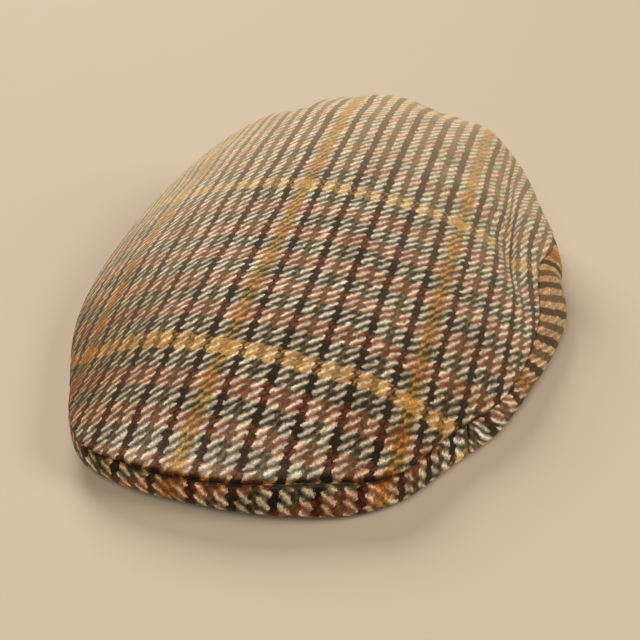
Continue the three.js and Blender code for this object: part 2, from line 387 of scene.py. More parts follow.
def half_width(loop, x, y):
    """Half the width of a loop across one station, on the side that x is on, from the superellipse's
    equation."""
    half, reach, full = quarter(loop, x < 0, y < loop["widest"])
    share = np.minimum(np.abs(y - loop["widest"]) / reach, 1)
    return half * (1 - share ** full) ** (1 / full)


def seam_stretch(around):
    """Stretch of the top seam: one plus the percentage in its table."""
    return 1 + smooth(SEAM_STRETCH, "around", "percent", np.degrees(around)) / 100


def seam_point(around):
    """Point of the top seam: its loop, stretched from the middle."""
    x, y = loop_point(TOP_SEAM, around)
    stretch = seam_stretch(around)
    return x * stretch, RING_CENTRE + (y - RING_CENTRE) * stretch


def unstretched(x, y):
    """Where a point of the top panel would lie if its seam were not stretched: the angle of the loop that it
    lies at, whose tangent is the ratio of its two shares raised to half the fullness, gives the stretch."""
    ahead = y < TOP_SEAM["widest"]
    half, reach, full = quarter(TOP_SEAM, x < 0, ahead)
    turn = np.arctan2(np.abs(x / half) ** (full / 2), np.abs((y - RING_CENTRE) / reach) ** (full / 2))
    around = np.where(x < 0, -1, 1) * np.where(ahead, turn, np.pi - turn)
    stretch = seam_stretch(around)
    return x / stretch, RING_CENTRE + (y - RING_CENTRE) / stretch


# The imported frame's shift, from the low corner of the top panel's box at the columns that the solids have
CAD_COLUMN_STEP = 4
CAD_SEAM = np.array(seam_point(np.radians(np.arange(-180, 180, CAD_COLUMN_STEP))))
FRAME_SHIFT = np.array([*(np.array(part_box("crown_top")[0])[:2] / MM - CAD_SEAM.min(axis=1)), 0.0])


def along_cap(y):
    """Share of the way from the front seam to the back seam."""
    return (y - TOP_SEAM["front"]) / (TOP_SEAM["back"] - TOP_SEAM["front"])


def seam_height(y):
    """Height of the top seam at a station, from the stations' table."""
    return smooth(CROWN_STATIONS, "along", "seam", along_cap(y))


def fold_height(x, y):
    """Sum of the folds over a point of the top panel, each its height times a bell across it and a longer
    bell along it."""
    total = 0.0
    for fold in FOLDS:
        heading = math.radians(fold.heading)
        dx, dy = x - fold.x, y - fold.y
        across = dx * math.cos(heading) + dy * math.sin(heading)
        lengthwise = dy * math.cos(heading) - dx * math.sin(heading)
        spread = (across / fold.width) ** 2 + (2 * lengthwise / fold.length) ** 2
        total = total + fold.height * np.exp(-spread)
    return total


def crown_height(x, y):
    """Height of the top panel: at each station an arch from seam to seam, one minus the squared share of the
    half width, rounded, plus the folds, which fade out at the seam."""
    x, y = unstretched(x, y)
    half = np.maximum(half_width(TOP_SEAM, x, y), NARROWEST_HALF)
    share = np.minimum(np.abs(x) / half, 1)
    seam = seam_height(y)
    ridge = np.maximum(smooth(CROWN_STATIONS, "along", "ridge", along_cap(y)), seam)
    arch = (1 - share ** ARCH_FULL) ** (1 / ARCH_ROUND)
    return seam + (ridge - seam) * arch + fold_height(x, y) * (1 - share ** FOLD_FADE)


def crown_normal(x, y):
    """Unit normal of the top panel: minus its two slopes, and one, over the length of the three."""
    slope_x = (crown_height(x + SLOPE_STEP, y) - crown_height(x - SLOPE_STEP, y)) / (2 * SLOPE_STEP)
    slope_y = (crown_height(x, y + SLOPE_STEP) - crown_height(x, y - SLOPE_STEP)) / (2 * SLOPE_STEP)
    normal = np.stack([-slope_x, -slope_y, np.ones_like(slope_x)], -1)
    return normal / np.linalg.norm(normal, axis=-1, keepdims=True)


def edge_section(around, wall):
    """Outer and inner wall of the edge: at each place a cubic bend from the top seam out over the hip to the
    foot, then a flat hem in to the head opening; the inner wall is offset square to the bend."""
    degrees = np.degrees(around)
    seam_x, seam_y = seam_point(around)
    open_x, open_y = loop_point(HEAD_OPENING, around)
    depth = np.hypot(seam_x - open_x, seam_y - open_y)
    out_x, out_y = (seam_x - open_x) / depth, (seam_y - open_y) / depth
    shoulder, hip, foot, lift = curves(EDGE_PLACES, degrees)
    lift = np.maximum(lift, 0)
    top = seam_height(loop_point(TOP_SEAM, around)[1])
    t = np.linspace(0, 1, BEND_ROWS)[:, None]
    middle = lift + (top - lift) * SHOULDER_DROP
    out = 3 * t * (1 - t) ** 2 * shoulder + 3 * t * t * (1 - t) * hip + t ** 3 * foot
    high = (1 - t) ** 3 * top + 3 * t * (1 - t) ** 2 * middle + (3 * t * t * (1 - t) + t ** 3) * lift
    go_out = 3 * (1 - t) ** 2 * shoulder + 6 * t * (1 - t) * (hip - shoulder) + 3 * t * t * (foot - hip)
    go_high = 3 * (1 - t) ** 2 * (middle - top) + 6 * t * (1 - t) * (lift - middle)
    length = np.hypot(go_out, go_high)
    hem = np.linspace(0, 1, HEM_ROWS + 1)[1:, None]
    hem_out = foot + hem * (-depth - foot)
    hem_high = lift + 0 * hem
    all_out = np.vstack([out, hem_out])
    all_high = np.vstack([high, hem_high])
    in_out = np.vstack([go_high / length, 0 * hem_out])
    in_high = np.vstack([-go_out / length, 1 + 0 * hem_out])

    def place(outward, height):
        """Points at distances outward from the seam, along the line from the head opening, and at heights."""
        return np.stack([seam_x + out_x * outward, seam_y + out_y * outward, height + 0 * outward], -1)

    return place(all_out, all_high), place(all_out + in_out * wall, all_high + in_high * wall)


def seam_mitre(around):
    """Direction in through the wall at the top seam, halfway between the crown's wall and the edge's wall,
    and long enough to cross a wall of thickness 1."""
    seam_x, seam_y = seam_point(around)
    x = NEAR_SEAM_RING * seam_x
    y = RING_CENTRE + NEAR_SEAM_RING * (seam_y - RING_CENTRE)
    crown = crown_normal(x, y)
    outer, inner = edge_section(around, 1.0)
    edge = outer[0] - inner[0]
    edge /= np.linalg.norm(edge, axis=-1, keepdims=True)
    middle = crown + edge
    middle /= np.linalg.norm(middle, axis=-1, keepdims=True)
    return -middle / np.sum(middle * crown, -1, keepdims=True)


# Relief of the sewn cloth
SEAM_AROUND = np.radians(np.linspace(-180, 180, SEAM_POINTS))
SEAM_X, SEAM_Y = seam_point(SEAM_AROUND)
SEAM_STEPS = np.hypot(np.diff(SEAM_X), np.diff(SEAM_Y))
SEAM_LENGTHS = np.concatenate([[0], np.cumsum(SEAM_STEPS)])
SEAM_LENGTHS -= SEAM_LENGTHS[len(SEAM_LENGTHS) // 2]


def along_seam(around):
    """Length along the top seam from the centre front, in millimetres, positive towards +X."""
    return np.interp(around, SEAM_AROUND, SEAM_LENGTHS)


def gutter(around, distance):
    """How deep the cloth dips beside the top seam: a bell about the seam, less the roll of the turned edge
    next to it, a bell that stands up."""
    depth, width, roll = curves(SEAM_DIPS, np.degrees(around))
    dip = depth * np.exp(-(distance / width) ** 2)
    return dip - roll * np.exp(-((distance - ROLL_PLACE) / ROLL_WIDTH) ** 2)


def puckers(length, distance):
    """Small ripples along a seam: three drifting waves of different lengths, which start clear of the seam
    and fade with the distance from it."""
    waves = sum(np.sin(2 * np.pi * length / each + i * PUCKER_START + np.sin(length / (each * PUCKER_DRIFT)))
                for i, each in enumerate(PUCKER_LENGTHS))
    clear = 1 - np.exp(-(distance / PUCKER_CLEAR) ** 2)
    return PUCKER_HEIGHT * waves * np.exp(-distance / PUCKER_REACH) * clear


def cloth_waves(x, y):
    """Slow uneven waves of the lying cloth: a sum of plane waves with seeded headings, lengths and
    starts."""
    chance = np.random.default_rng(WAVE_SEED)
    total = 0.0
    for _ in range(WAVE_COUNT):
        heading, start = chance.uniform(0, 2 * np.pi, 2)
        number = 2 * np.pi / chance.uniform(*WAVE_LENGTHS)
        total = total + np.sin(number * (x * np.cos(heading) + y * np.sin(heading)) + start)
    return WAVE_HEIGHT * total


def grid_lengths(points):
    """Length along each column of a grid of points, from its first row."""
    steps = np.linalg.norm(np.diff(points, axis=0), axis=-1)
    return np.vstack([np.zeros(points.shape[1]), np.cumsum(steps, axis=0)])


# Threads: each point of the cloth as a count of warp ends across and weft picks along
def lateral_arc(x, y):
    """Length over the top panel from its middle line to a point, along one station: the sum of short
    chords."""
    share = np.linspace(0, 1, ARC_STEPS + 1).reshape(-1, *([1] * x.ndim))
    across = share * x
    height = crown_height(across, np.broadcast_to(y, across.shape))
    chords = np.hypot(np.diff(across, axis=0), np.diff(height, axis=0))
    return np.sign(x) * chords.sum(axis=0)


def ridge_arc(y):
    """Length along the middle line of the top panel from the front gold weft line."""
    at = np.linspace(TOP_SEAM["front"], TOP_SEAM["back"], RIDGE_POINTS)
    height = crown_height(0 * at, at)
    arc = np.concatenate([[0], np.cumsum(np.hypot(np.diff(at), np.diff(height)))])
    return np.interp(y, at, arc) - np.interp(GOLD_WEFT_Y, at, arc)


def crown_threads(x, y):
    """Ends and picks of the top panel: warp along the cap, crowding where the cloth is eased into the seams,
    by the square of the distance past a line, and jumping by a smooth step over the crease's tuck; weft
    across it, bowed back towards the sides."""
    bow = WEFT_BOW * np.clip((y - GOLD_WEFT_Y) / (NEXT_GOLD_WEFT_Y - GOLD_WEFT_Y), 0, WEFT_BOW_MOST)
    arc = lateral_arc(x, y)
    right = EASE_RIGHT * np.maximum(-arc - EASE_RIGHT_FROM, 0) ** 2
    left = EASE_LEFT * np.maximum(arc - EASE_LEFT_FROM, 0) ** 2
    front = EASE_FRONT * np.maximum(-arc - EASE_FRONT_FROM, 0) ** 2
    right = right + smooth_step(y, *EASE_FRONT_STATIONS) * front
    past = (x - TUCK_X - TUCK_SLANT * (y - TUCK_Y)) / TUCK_WIDTH
    tuck = TUCK_DEPTH * np.exp(-((y - TUCK_DEEPEST_Y) / TUCK_REACH) ** 2) * (1 + np.tanh(past)) / 2
    ends = GOLD_WARP_MIDDLE + (arc + left + tuck - right - GOLD_WARP_X) / END_PITCH
    picks = GOLD_WEFT_MIDDLE + ridge_arc(y - bow * x * x) / PICK_PITCH
    return np.stack([ends, picks], -1)


def peak_threads(around, down):
    """Ends and picks of the peak's cover: the warp runs down it, matched to the top panel at the front."""
    length = along_seam(around)
    ends = GOLD_WARP_MIDDLE - (length - GOLD_WARP_X) / END_PITCH
    picks = PEAK_WEFT_AT_SEAM + (PEAK_WEFT_SLANT * length - down) / PICK_PITCH
    return np.stack([ends + 0 * down, picks], -1)


def side_threads(around, down):
    """Ends and picks of a side panel: the warp runs down it and leans, and the weft drifts where the panel
    is cut round the corner, by the sagitta of that cut."""
    length = along_seam(around)
    slant = smooth(SIDE_SLANT, "length", "slant", np.abs(length))
    ends = GOLD_WARP_MIDDLE - (np.abs(length) - slant * down - SIDE_GOLD_AT) / SIDE_END_PITCH
    short = np.maximum(SIDE_STRAIGHT_AT - np.abs(length), 0)
    picks = SIDE_WEFT_AT_SEAM - (short ** 2 / (2 * SIDE_CUT_RADIUS) + down) / PICK_PITCH
    return np.stack([ends + 0 * down, picks], -1)


def crown_rise_and_painted_light(x, picks):
    """Rise of the weft, painted light and shade as a power of the colour, and painted sheen over the top
    panel;
    the painted light and shade of its sides come in by a smooth step, and are milder on the wearer's left."""
    # Share of the painted light and shade of the sides, by the distance across the panel
    painted_sides = smooth_step(np.abs(x), PAINTED_SIDES_FROM, PAINTED_SIDES_TO) * np.where(x > 0, LEFT_PAINTED_SIDES, 1)
    rise, depth, side_painted_light, painted_sheen, side_painted_sheen = curves(CROWN_RISE_AND_PAINTED_LIGHT, picks)
    return np.stack([rise, depth + painted_sides * (side_painted_light - depth), painted_sheen + painted_sides * (side_painted_sheen - painted_sheen)], -1)


def edge_rise_and_painted_light(around, down):
    """Rise of the weft, painted shade as a power of the colour, and painted sheen over the edge, alike from
    its seam to its hem.
    """
    return np.stack([each + 0 * down for each in curves(EDGE_RISE_AND_PAINTED_LIGHT, np.degrees(around))], -1)


# Meshes
def make_piece(name, points, faces, threads, rise_and_painted_light, material):
    """A smooth mesh object from points in the tables' frame, with its thread counts, its weft rise, and its
    painted light, shade and sheen as UV maps."""
    mesh = bpy.data.meshes.new(name)
    mesh.from_pydata(in_frame(points), [], faces)
    corners = np.empty(len(mesh.loops), np.int32)
    mesh.loops.foreach_get("vertex_index", corners)
    for map_name, values in (("threads", threads), ("rise_and_painted_light", rise_and_painted_light[:, :2]), ("painted_sheen", rise_and_painted_light[:, 1:])):
        layer = mesh.uv_layers.new(name=map_name)
        layer.data.foreach_set("uv", values[corners].astype(np.float32).ravel())
    mesh.polygons.foreach_set("use_smooth", np.ones(len(mesh.polygons), bool))
    mesh.materials.append(material)
    mesh.update()
    piece = bpy.data.objects.new(name, mesh)
    bpy.context.scene.collection.objects.link(piece)
    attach(piece, "root")
    return piece


def band_quads(rows, columns, closed):
    """Quads of a grid whose points are numbered row by row; a closed grid joins its last column to its
    first."""
    i, j = np.meshgrid(np.arange(rows - 1), np.arange(columns if closed else columns - 1), indexing="ij")
    k = (j + 1) % columns
    return np.stack([i * columns + j, (i + 1) * columns + j, (i + 1) * columns + k, i * columns + k],
                    -1).reshape(-1, 4)


def crown_rows(count, around):
    """Plan of the top panel's rings, shrunk copies of the seam about one centre, closer near the seam: each
    one's share is one less a power of the even share that is left to the seam."""
    spread = np.linspace(0, 1, count + 1)[1:]
    rings = 1 - (1 - spread) ** RING_SPREAD
    seam_x, seam_y = seam_point(around)
    x = rings[:, None] * seam_x
    y = RING_CENTRE + rings[:, None] * (seam_y - RING_CENTRE)
    return x, y


def make_crown(material):
    """The top panel: rings out from a pole to the seam, over its turned edge, and back inside to a second
    pole. Its relief and its gutter are offsets through the wall, which turns to the seam's mitre near it."""
    around = np.linspace(-np.pi, np.pi, CROWN_COLUMNS, endpoint=False)
    mitre = seam_mitre(around)
    x, y = crown_rows(CROWN_RINGS, around)
    outer = np.stack([x, y, crown_height(x, y)], -1)
    normal = crown_normal(x, y)
    down = grid_lengths(outer)
    distance = down[-1] - down
    seam = np.exp(-(distance / SEAM_BLEND) ** 2)[..., None]
    inward = seam * mitre - (1 - seam) * normal
    waves = cloth_waves(x, y) * (1 - np.exp(-(distance / WAVE_CLEAR) ** 2))
    relief = waves + puckers(along_seam(around), distance)
    dip = gutter(around, distance)
    outer[-1, :, 2] += SEAM_GAP
    outer_threads = crown_threads(x, y)
    outer = outer - inward * relief[..., None] + inward * dip[..., None]

    x, y = crown_rows(INNER_RINGS, around)
    inner = np.stack([x, y, crown_height(x, y)], -1)
    inner[:-1] -= CLOTH_WALL * crown_normal(x[:-1], y[:-1])
    inner[-1, :, 2] += SEAM_GAP
    inner[-1] += CLOTH_WALL * mitre
    inner_threads = crown_threads(x, y)

    pole_x, pole_y = np.zeros(1), np.full(1, RING_CENTRE)
    pole = np.stack([pole_x, pole_y, crown_height(pole_x, pole_y) + cloth_waves(pole_x, pole_y)], -1)
    inner_pole = np.stack([pole_x, pole_y, crown_height(pole_x, pole_y) - CLOTH_WALL], -1)
    pole_threads = crown_threads(pole_x, pole_y)
    rows = np.concatenate([outer, inner[::-1]])
    points = np.concatenate([rows.reshape(-1, 3), pole, inner_pole])
    threads = np.concatenate([outer_threads.reshape(-1, 2), inner_threads[::-1].reshape(-1, 2),
                              pole_threads, pole_threads])
    quads = band_quads(len(rows), CROWN_COLUMNS, True).tolist()
    column = np.arange(CROWN_COLUMNS)
    after = (column + 1) % CROWN_COLUMNS
    last = (len(rows) - 1) * CROWN_COLUMNS
    first_pole, second_pole = len(points) - 2, len(points) - 1
    fans = np.concatenate([np.stack([0 * column + first_pole, column, after], -1),
                           np.stack([0 * column + second_pole, last + after, last + column], -1)]).tolist()
    rise_and_painted_light = crown_rise_and_painted_light(points[:, 0], threads[:, 1])
    # Painted shade in the seam's gutter, deeper where the cloth dips more
    rise_and_painted_light[:dip.size, 1] += GUTTER_PAINTED_SHADE * np.maximum(dip, 0).ravel()
    piece = make_piece("tweed_top_panel", points, quads + fans, threads, rise_and_painted_light, material)
    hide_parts("crown_top")


def make_edge(name, node, start, end, columns, wall, threads_at, material):
    """One panel of the edge: its outer and inner wall as one closed loop of rows, with its two ends closed.
    Gutter and puckers are offsets through the wall and fade out before the hem."""
    around = np.radians(np.linspace(start, end, columns))
    outer, inner = edge_section(around, wall)
    mitre = seam_mitre(around)
    inner[0] = outer[0] + wall * mitre
    down = grid_lengths(outer)
    inward = inner - outer
    inward /= np.linalg.norm(inward, axis=-1, keepdims=True)
    seam = np.exp(-(down / SEAM_BLEND) ** 2)[..., None]
    inward = seam * mitre + (1 - seam) * inward
    length = along_seam(around)
    to_end = np.minimum(length - length[0], length[-1] - length)
    end_dip = END_DIP_DEPTH * np.exp(-(to_end / END_DIP_WIDTH) ** 2)
    fade_from, fade_to = down[BEND_ROWS - HEM_FADE_ROWS], down[BEND_ROWS - 1]
    hem = np.clip((down - fade_from) / (fade_to - fade_from), 0, 1)
    dip = np.maximum(gutter(around, down), end_dip) * (1 - hem)
    relief = puckers(length + EDGE_PUCKER_SHIFT, down) * (1 - hem)
    threads = threads_at(around, down)
    outer = outer + inward * (dip - relief)[..., None]
    rows = np.concatenate([outer, inner[::-1]])
    rows = np.concatenate([rows, rows[:1]])
    quads = band_quads(len(rows), columns, False)
    count = (len(rows) - 1) * columns
    quads = np.where(quads >= count, quads - count, quads)
    half = len(outer)
    i = np.arange(half - 1)
    partner = 2 * half - 1 - i
    first = np.stack([i, partner, partner - 1, i + 1], -1) * columns
    final = np.stack([i, i + 1, partner - 1, partner], -1) * columns + columns - 1
    faces = np.concatenate([quads, first, final]).tolist()
    points = rows[:-1].reshape(-1, 3)
    counts = np.concatenate([threads, threads[::-1]]).reshape(-1, 2)
    rise_and_painted_light = edge_rise_and_painted_light(around, down)
    # Painted shade in the seam's gutter, deeper where the cloth dips more
    rise_and_painted_light[..., 1] += GUTTER_PAINTED_SHADE * np.maximum(dip, 0)
    rise_and_painted_light = np.concatenate([rise_and_painted_light, rise_and_painted_light[::-1]]).reshape(-1, 3)
    piece = make_piece(name, points, faces, counts, rise_and_painted_light, material)
    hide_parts(node)


# Materials
def linear(code):
    """Linear colour of an sRGB hex value."""
    part = np.array([int(code[i:i + 2], 16) for i in (1, 3, 5)]) / 255
    value = np.where(part <= 0.04045, part / 12.92, ((part + 0.055) / 1.055) ** 2.4)
    return (*value, 1.0)


def add(tree, kind, links=(), **settings):
    """Adds a node with its settings; links are constants, sockets or nodes, by place or by input name."""
    node = tree.nodes.new("ShaderNode" + kind)
    for name, value in settings.items():
        setattr(node, name, value)
    for place, value in (links.items() if isinstance(links, dict) else enumerate(links)):
        source = value.outputs[0] if isinstance(value, bpy.types.Node) else value
        if isinstance(source, bpy.types.NodeSocket):
            tree.links.new(source, node.inputs[place])
        else:
            node.inputs[place].default_value = source
    return node


# Yarns: colour, how full a float of it lies, and in the warp how many ends wide its stripe lies
WARP_GOLD = ("#CCA562", 0.95, 6.4)
WARP_DARK = ("#2A160C", 1.25, 4.0)
WARP_OLIVE = ("#766B50", 1.00, 4.0)
WARP_CREAM = ("#ECDFC4", 0.86)
WEFT_GOLD = ("#B0834A", 0.78)
WEFT_BLACK = ("#1B130C", 1.0)
WEFT_RUST = ("#703A22", 1.0)

# Light that each weft yarn throws on the warp that it crosses
GOLD_CAST = ("#FBEACB", 1.0)
BLACK_CAST = ("#F6F5F2", 1.0)
RUST_CAST = ("#FFEFEA", 1.0)

# Chart: units of a coloured and a light stripe in the warp, with the light one's middle and how early the
# gold one starts; rows in the weft, with how far the gold one is inset
UNIT_ENDS = 8
LIGHT_MIDDLE = 0.75
GOLD_EARLY = 0.8
WARP_UNITS = (WARP_GOLD,) + (WARP_DARK, WARP_OLIVE) * 4 + (WARP_DARK,)
ROW_PICKS = 8
GOLD_ROW_INSET = 0.6
ROW_SIZES = (ROW_PICKS - 2 * GOLD_ROW_INSET, ROW_PICKS + GOLD_ROW_INSET) + (ROW_PICKS,) * 9
ROW_SIZES += (ROW_PICKS + GOLD_ROW_INSET,)
WEFT_ROWS = (WEFT_GOLD,) + (WEFT_BLACK, WEFT_RUST) * 5 + (WEFT_BLACK,)
CAST_ROWS = (GOLD_CAST,) + (BLACK_CAST, RUST_CAST) * 5 + (BLACK_CAST,)

# Twill: threads in its repeat, slope and start of its lines, softness of a float's ends and what felting
# adds to it between two powers of painted shade, the fullest yarn, how far light floats cross their
# stripe's edge and the weft's rise at which they stop, how far a row steps at each stripe, and how much of
# the lower thread shows through
TWILL = 4
TWILL_SLOPE = 0.84
TWILL_START = -0.5
FLOAT_SOFT = 1.2
FELTED = 0.96
PAINTED_SHADE_DEPTHS = (1.0, 1.6)
FULLEST = 2.0
STRIPE_TEETH = 0.28
TEETH_END_RISE = -1.0
ROW_STEP = 0.12
SHOW_THROUGH = 0.02

# Unevenness of the yarn: noise in cells for each thread, about a millimetre, and how much each one does, as
# a factor and an offset where there are two values
WANDER_NOISE = {"Scale": 0.35, "Detail": 1.0}
WANDER = 1.7
FUZZ_NOISE = {"Scale": 1.8, "Detail": 3.0, "Roughness": 0.7}
FRAY = 2.0
FUZZ_RELIEF = 0.6
HEATHER = (0.5, 0.5, 0.5)
HEATHER_LEAST = (0.75, 0.75, 0.75)
SLACK_NOISE = {"Scale": 0.12, "Detail": 1.0}
SLACK = 0.5
OWN_FULL = (0.34, 0.58)
OWN_BRIGHT = (0.3, 0.85)
MOTTLE_NOISE = {"Scale": 0.7, "Detail": 4.0, "Roughness": 0.9}
MOTTLE = (2.4, -0.15)
BLOTCH_NOISE = {"Scale": 0.3, "Detail": 2.0}
BLOTCH = (0.9, 0.55)
HALF_COLOUR = (0.5, 0.5, 0.5)

# Height of a float: how far it falls at its sides and its ends, how sharply, its depth in millimetres, the
# strength of its bump, and the painted shade that its dips put on the yarn, as a factor and an offset
SIDE_FALL = -0.55
END_FALL = -0.7
END_SHARP = 3.0
YARN_DEPTH = 0.35
BUMP = 0.4
PAINTED_DIP_SHADE = (0.8, 0.42)

# Over the yarn: the colour of a painted sheen, the brown tint of a painted shade, and slanting flecks of
# loose fibre; then the wool itself
PAINTED_SHEEN_COLOUR = "#D6BE96"
PAINTED_SHADE_TINT = "#DABB94"
FLECK = "#A08C6C"
FLECK_TURN = (0.0, 0.0, math.radians(-50))
FLECK_STRETCH = (0.5, 2.6, 1.0)
FLECK_NOISE = {"Scale": 1.0, "Detail": 2.0}
FLECK_RANGE = (0.56, 0.78)
FLECK_MOST = 0.25
WOOL = {"Roughness": 0.95, "IOR": 1.5, "Specular IOR Level": 0.15, "Sheen Weight": 0.25,
        "Sheen Roughness": 0.5, "Sheen Tint": linear("#F0D9B0")}


def chart_ramp(tree, place, bands):
    """Yarn at a place in threads: the repeat's bands as steps of a ramp, its alpha the yarn's fullness as a
    share of the fullest."""
    total = sum(size for size, _ in bands)
    turn = add(tree, "Math", (place, float(total)), operation="FLOORED_MODULO")
    share = add(tree, "Math", (turn, float(total)), operation="DIVIDE")
    ramp = add(tree, "ValToRGB", (share,))
    ramp.color_ramp.interpolation = "CONSTANT"
    starts = np.cumsum([0] + [size for size, _ in bands[:-1]]) / total
    steps = ramp.color_ramp.elements
    while len(steps) < len(bands):
        steps.new(1.0)
    for step, start, (_, (colour, full)) in zip(steps, starts, bands):
        step.position = start
        step.color = (*linear(colour)[:3], full / FULLEST)
    return ramp


def wool_tweed():
    """Wool tweed, woven two over two in a twill from soft woollen yarn: matte, fuzzy, each float a soft
    rounded dash, under painted shade and a pale painted sheen laid on by place. Dark and olive stripes cross
    black and rust rows in a small check, under a gold windowpane."""
    material = bpy.data.materials.new("wool_tweed")
    material.use_nodes = True
    tree = material.node_tree
    tree.nodes.clear()
    place = add(tree, "UVMap", uv_map="threads")
    # Rise of the weft over the warp, the painted light and shade, and the painted sheen, by place on the
    # cloth
    rise = add(tree, "SeparateXYZ", (add(tree, "UVMap", uv_map="rise_and_painted_light"),)).outputs[0]
    depth, painted_sheen = add(tree, "SeparateXYZ", (add(tree, "UVMap", uv_map="painted_sheen"),)).outputs[:2]

    # Threads wander a little, and loose fibres fray the edge of every float
    wander = add(tree, "TexNoise", {"Vector": place, **WANDER_NOISE}, noise_dimensions="2D")
    wander = add(tree, "VectorMath", (wander.outputs["Color"], HALF_COLOUR), operation="SUBTRACT")
    wander = add(tree, "VectorMath", {0: wander, "Scale": WANDER}, operation="SCALE")
    fuzz = add(tree, "TexNoise", {"Vector": place, **FUZZ_NOISE}, noise_dimensions="2D")
    fray = add(tree, "VectorMath", (fuzz.outputs["Color"], HALF_COLOUR), operation="SUBTRACT")
    fray = add(tree, "VectorMath", {0: fray, "Scale": FRAY}, operation="SCALE")
    moved = add(tree, "VectorMath", (place, wander), operation="ADD")
    moved = add(tree, "VectorMath", (moved, fray), operation="ADD")
    end, pick = add(tree, "SeparateXYZ", (moved,)).outputs[:2]
    in_thread = add(tree, "VectorMath", (moved,), operation="FRACTION")
    across, along = add(tree, "SeparateXYZ", (in_thread,)).outputs[:2]

    # Place in the stripes, from the middle of the nearest light one; rows of weft step a little at each one
    from_stripe = add(tree, "Math", (end, LIGHT_MIDDLE * UNIT_ENDS), operation="SUBTRACT")
    from_stripe = add(tree, "Math", (from_stripe, UNIT_ENDS / 2, -UNIT_ENDS / 2), operation="WRAP")
    row_place = add(tree, "Math", (from_stripe, -ROW_STEP, pick), operation="MULTIPLY_ADD")

    # Distance from the middle of the warp's float across the twill line, which lies flatter within each
    # light stripe, because its crowded ends push each other level
    line = add(tree, "Math", (from_stripe, TWILL_SLOPE, TWILL_START), operation="MULTIPLY_ADD")
    line = add(tree, "Math", (line, pick), operation="SUBTRACT")
    step = add(tree, "Math", (line, TWILL / 2, -TWILL / 2), operation="WRAP")
    step = add(tree, "Math", (step,), operation="ABSOLUTE")

    # A light float spreads over the edges of its stripe, and the dark ones close in between the floats
    teeth = add(tree, "Math", (add(tree, "Math", (step, 2 * math.pi / TWILL), operation="MULTIPLY"),),
                operation="COSINE")
    open_weave = add(tree, "MapRange", (rise, TEETH_END_RISE, 0.0, 0.0, -STRIPE_TEETH))
    teeth = add(tree, "Math", (teeth, open_weave), operation="MULTIPLY")
    warp_place = add(tree, "Math", (from_stripe, teeth, end), operation="MULTIPLY_ADD")

    # Yarns of the two threads that cross here; the light stripes beside the gold one make up its early start
    units = []
    for colour, full, width in WARP_UNITS:
        units += [(width, (colour, full)), (UNIT_ENDS - width, WARP_CREAM)]
    units[1] = (units[1][0] + GOLD_EARLY, WARP_CREAM)
    units[-1] = (units[-1][0] - GOLD_EARLY, WARP_CREAM)
    warp_place = add(tree, "Math", (warp_place, GOLD_EARLY), operation="ADD")
    warp = chart_ramp(tree, warp_place, units)
    row_place = add(tree, "Math", (row_place, GOLD_ROW_INSET), operation="SUBTRACT")
    weft = chart_ramp(tree, row_place, list(zip(ROW_SIZES, WEFT_ROWS)))
    cast = chart_ramp(tree, row_place, list(zip(ROW_SIZES, CAST_ROWS)))
    lit_warp = add(tree, "VectorMath", (warp, cast), operation="MULTIPLY")

    # Every float has its own fullness and brightness, as uneven yarn does; the warp shows near the middle of
    # its float, and the weft past the float's end
    stripe = add(tree, "Math", (end, 1 / UNIT_ENDS, 0.5 - LIGHT_MIDDLE), operation="MULTIPLY_ADD")
    stripe = add(tree, "Math", (stripe,), operation="FLOOR")
    twill_line = add(tree, "Math", (line, 1 / TWILL, 0.5), operation="MULTIPLY_ADD")
    twill_line = add(tree, "Math", (twill_line,), operation="FLOOR")
    own = add(tree, "CombineXYZ", (stripe, twill_line))
    own = add(tree, "TexWhiteNoise", {"Vector": own}, noise_dimensions="2D").outputs["Value"]
    slack = add(tree, "TexNoise", {"Vector": place, **SLACK_NOISE}, noise_dimensions="2D")
    full = add(tree, "Math", (own, *OWN_FULL), operation="MULTIPLY_ADD")
    full = add(tree, "Math", (slack.outputs[0], SLACK, full), operation="MULTIPLY_ADD")
    full = add(tree, "Math", (warp.outputs["Alpha"], FULLEST, full), operation="MULTIPLY_ADD")
    full = add(tree, "Math", (weft.outputs["Alpha"], -FULLEST, full), operation="MULTIPLY_ADD")
    shown = add(tree, "Math", (step, rise), operation="ADD")
    shown = add(tree, "Math", (shown, full), operation="SUBTRACT")
    # How deep the painted shade is, from none to full; it also softens the floats
    painted_shade = add(tree, "MapRange", (depth, *PAINTED_SHADE_DEPTHS, 0.0, 1.0))
    soft = add(tree, "Math", (painted_shade, FELTED, FLOAT_SOFT), operation="MULTIPLY_ADD")
    shown = add(tree, "Math", (shown, soft), operation="DIVIDE")
    weft_up = add(tree, "MapRange", (shown, -1.0, 1.0, SHOW_THROUGH, 1 - SHOW_THROUGH),
                  interpolation_type="SMOOTHSTEP")

    # Height of the float: round across the yarn, and dipping at both ends
    sideways = add(tree, "Mix", {0: weft_up, 2: across, 3: along})
    sideways = add(tree, "Math", (sideways, 2.0, -1.0), operation="MULTIPLY_ADD")
    sideways = add(tree, "Math", (sideways, sideways), operation="MULTIPLY")
    side_fall = add(tree, "Math", (sideways, SIDE_FALL, 1.0), operation="MULTIPLY_ADD")
    to_end = add(tree, "Math", (step, 1.0), operation="PINGPONG")
    to_end = add(tree, "Math", (to_end, END_SHARP), operation="POWER")
    end_fall = add(tree, "Math", (to_end, END_FALL, 1.0), operation="MULTIPLY_ADD")
    height = add(tree, "Math", (end_fall, side_fall), operation="MULTIPLY")

